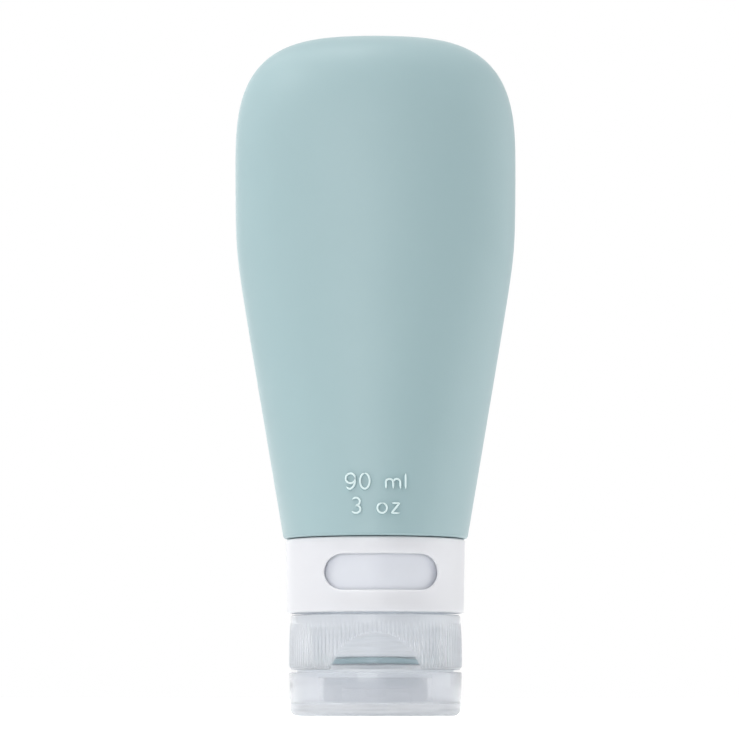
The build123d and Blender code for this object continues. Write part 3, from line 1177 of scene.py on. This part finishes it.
# %% Say where the haze lies
def height_of(finish):
    return finish.add("ShaderNodeSeparateXYZ", inputs={"Vector": place(finish)}).output("Z")


def cap_haze(finish):
    across = finish.add("ShaderNodeVectorMath", {"operation": "MULTIPLY"}, {0: place(finish), 1: (1, 1, 0)})
    radius = finish.add("ShaderNodeVectorMath", {"operation": "LENGTH"}, {0: across}).output("Value")
    height = height_of(finish)
    outside = eased_step(finish, radius, cap_radius - 0.25 * MM, cap_radius - 0.1 * MM, 0, 1)
    inside = eased_step(finish, height, cap_foot + 2.4 * MM, cap_foot + 3.2 * MM, 0.03, 0.42)
    foot = eased_step(finish, height, cap_foot + 0.75 * MM, cap_foot + 0.95 * MM, 0.65, 0)
    return inside + foot + outside * (0.45 - inside - foot)


def lid_haze(finish):
    return eased_step(finish, height_of(finish), 0.2 * MM, lid_floor + 0.2 * MM, 0.6, 0.25)


# %% [markdown]
# A faint absorption in the depth of the plastic greys what is thick more than what is thin. Light that is on
# its way to or from a matt surface would get lost in a bending surface, so the plastic lets most of it
# straight through, and what it covers is lit as it is on the real object. Edges are shaded as if they had a
# small rounding, and along them the mix leans to the milky white so they show as bright lines: a painted
# highlight.

# %% Clear plastic
def clear_finish(name, haze):
    finish = new_finish(name)
    cloud = noise(finish, 5 * MM, detail=3)
    ripple = noise(finish, 2.2 * MM, detail=2)
    grain = noise(finish, 0.2 * MM, detail=3)
    eased_edge = finish.add("ShaderNodeBevel", {"samples": 4}, {"Radius": 0.2 * MM})
    relief = bumped(finish, ripple + grain * 0.1, 0.006 * MM, eased_edge)
    clear = finish.add("ShaderNodeBsdfPrincipled", inputs={
        "Base Color": tinted(finish, colour(235, 236, 239), colour(230, 231, 235), cloud),
        "Roughness": 0.05 + cloud * 0.04 + grain * 0.03,
        "IOR": 1.46,
        "Transmission Weight": 1.0,
        "Normal": relief,
    })
    milky = finish.add("ShaderNodeBsdfPrincipled", inputs={
        "Base Color": tinted(finish, colour(242, 245, 249), colour(237, 241, 246), cloud),
        "Roughness": 0.28 + grain * 0.08,
        "IOR": 1.46,
        "Normal": relief,
    })
    straight = finish.add("ShaderNodeNewGeometry").output("Normal")
    alike = finish.add("ShaderNodeVectorMath", {"operation": "DOT_PRODUCT"}, {0: eased_edge, 1: straight})
    # Painted highlight: where the rounded shading normal leaves the true one, the mix leans to the milky white,
    # which draws bright lines along edges and ribs.
    edge_painted_highlight = (1 - alike.output("Value")) * 5
    surface = finish.add("ShaderNodeMixShader", inputs={0: haze(finish) + edge_painted_highlight, 1: clear, 2: milky})
    passed = finish.add("ShaderNodeBsdfTransparent", inputs={"Color": colour(246, 248, 250)})
    rays = finish.add("ShaderNodeLightPath")
    soft_light = rays.output("Is Shadow Ray") + rays.output("Is Diffuse Ray")
    either = finish.add("ShaderNodeMixShader", inputs={0: soft_light * 0.92, 1: surface, 2: passed})
    depth = finish.add("ShaderNodeVolumeAbsorption", inputs={"Color": colour(190, 191, 194), "Density": 13.0})
    return finish.close(either, Volume=depth)


cap_plastic = clear_finish("cap_plastic", cap_haze)
lid_plastic = clear_finish("lid_plastic", lid_haze)
for piece in (cap, cap_thread):
    piece.data.materials.append(cap_plastic)
lid.data.materials.append(lid_plastic)
print("clear plastics:", cap_plastic.name, lid_plastic.name)

# %% [markdown]
# The photograph is a product shot on pure white. The floor is a large pale sheet of paper. A little glow of
# its own, which only the camera and reflections see, brings it to white, and a soft shadow stays.

# %% Lay the floor
floor_glow = 0.55
floor = new_piece("floor", [(-4, -3, 0), (4, -3, 0), (4, 5, 0), (-4, 5, 0)], [(0, 1, 2, 3)])
paper = new_finish("floor_paper")
fibre = noise(paper, 3 * MM, detail=4)
rays = paper.add("ShaderNodeLightPath")
seen = rays.output("Is Camera Ray") + rays.output("Is Glossy Ray") + rays.output("Is Transmission Ray")
sheet = paper.add("ShaderNodeBsdfPrincipled", inputs={
    "Base Color": tinted(paper, colour(252, 252, 252), colour(248, 248, 248), fibre),
    "Roughness": 0.9,
    "Specular IOR Level": 0.1,
})
glow = paper.add("ShaderNodeEmission", inputs={
    "Color": (1, 1, 1, 1),
    "Strength": seen.maths("MINIMUM", seen, 1) * floor_glow,
})
floor.data.materials.append(paper.close(paper.add("ShaderNodeAddShader", inputs={0: sheet, 1: glow})))
print("floor glow:", floor_glow)

# %% [markdown]
# The world is white to the camera and to what the clear plastic reflects and lets through, but dimmer as a
# light, so that the object isn't washed out.

# %% Whiten the room
world = bpy.data.worlds.new("studio")
scene.world = world
air = Finish(world)
paths = air.add("ShaderNodeLightPath")
shown = paths.output("Is Camera Ray") + paths.output("Is Glossy Ray") + paths.output("Is Transmission Ray")
room_light = 0.66
backdrop = air.add("ShaderNodeBackground", inputs={
    "Color": (1, 1, 1, 1),
    "Strength": room_light + shown.maths("MINIMUM", shown, 1) * (1 - room_light),
})
air.add("ShaderNodeOutputWorld", inputs={"Surface": backdrop})
print("room light:", room_light)

# %% [markdown]
# Most of the light is the white room itself, so each lamp only leans the shading a little. A high softbox at
# the left lights the left side. A low, wide one at the right and one behind keep the edges bright, and a
# small one in front lifts the middle. Two very small ones, high at the left, throw the crisp light that
# draws the raised numbers and shines on the shoulder, and the last hangs over the crown.

# %% Hang the lights
def softbox(name, azimuth, elevation, distance, size, power):
    lamp = bpy.data.lights.new(name, "AREA")
    lamp.shape = "RECTANGLE"
    lamp.size, lamp.size_y = size
    lamp.energy = power
    light = bpy.data.objects.new(name, lamp)
    scene.collection.objects.link(light)
    turn, lift = math.radians(azimuth), math.radians(elevation)
    target = Vector((0, 0, 0.07))
    away = Vector((math.sin(turn) * math.cos(lift), -math.cos(turn) * math.cos(lift), math.sin(lift)))
    light.location = target + away * distance
    light.rotation_euler = away.to_track_quat("Z", "Y").to_euler()
    return light


softbox("left_softbox", -84, 38, 0.9, (0.8, 0.9), 0.55)
softbox("key_softbox", -58, 44, 0.9, (0.12, 0.12), 0.8)
softbox("shoulder_softbox", -106, 58, 0.9, (0.1, 0.1), 0.5)
softbox("front_softbox", -10, 11, 0.9, (0.42, 0.42), 1.4)
softbox("right_softbox", 92, 12, 0.9, (0.9, 0.6), 2.1)
softbox("back_softbox", -150, 12, 0.9, (0.4, 0.5), 0.4)
softbox("overhead_softbox", -50, 78, 0.9, (0.3, 0.3), 1.3)

# %% [markdown]
# The body's darkest line runs a little right of its middle. In a white room only something dark can make
# it, so a photographer hangs a black flag there: an upright card of felt, at the front right, that keeps
# the room's light from a narrow part of the surface. The camera doesn't see it, nor does the clear plastic.

# %% Hang the flag
flag_turn = math.radians(34)
flag_distance, flag_half_width, flag_height = 0.45, 0.18, 0.8
flag_middle = Vector((math.sin(flag_turn), -math.cos(flag_turn), 0)) * flag_distance
sideways = Vector((math.cos(flag_turn), math.sin(flag_turn), 0)) * flag_half_width
upwards = Vector((0, 0, flag_height))
foot = [flag_middle - sideways, flag_middle + sideways]
flag = new_piece("flag", foot + [point + upwards for point in foot[::-1]], [(0, 1, 2, 3)])
flag.visible_camera = False
flag.visible_transmission = False
black_felt = new_finish("black_felt")
flag.data.materials.append(black_felt.close(black_felt.add("ShaderNodeBsdfPrincipled", inputs={
    "Base Color": colour(30, 30, 30), "Roughness": 0.95, "Specular IOR Level": 0.1,
})))
print("flag:", flag_height, "m tall")

# %% [markdown]
# The camera stands low and far away, almost level with the table, as a product shot with a long lens is
# taken. Its height, aim and lens put the table line, the seams and the crown where the photograph has them.

# %% Place the camera
camera_data = bpy.data.cameras.new("camera")
camera = bpy.data.objects.new("camera", camera_data)
scene.collection.objects.link(camera)
scene.camera = camera
camera_place = Vector((-1.24 * MM, -750 * MM, 4 * MM))
camera_target = Vector((-1.24 * MM, 0, 71.2 * MM))
camera.location = camera_place
camera.rotation_euler = (camera_target - camera_place).to_track_quat("-Z", "Y").to_euler()
camera_data.sensor_width = 36
camera_data.lens = 177.6
camera_data.clip_start = 0.01
scene.view_settings.view_transform = "Standard"
print("lens:", round(camera_data.lens, 1), "mm")
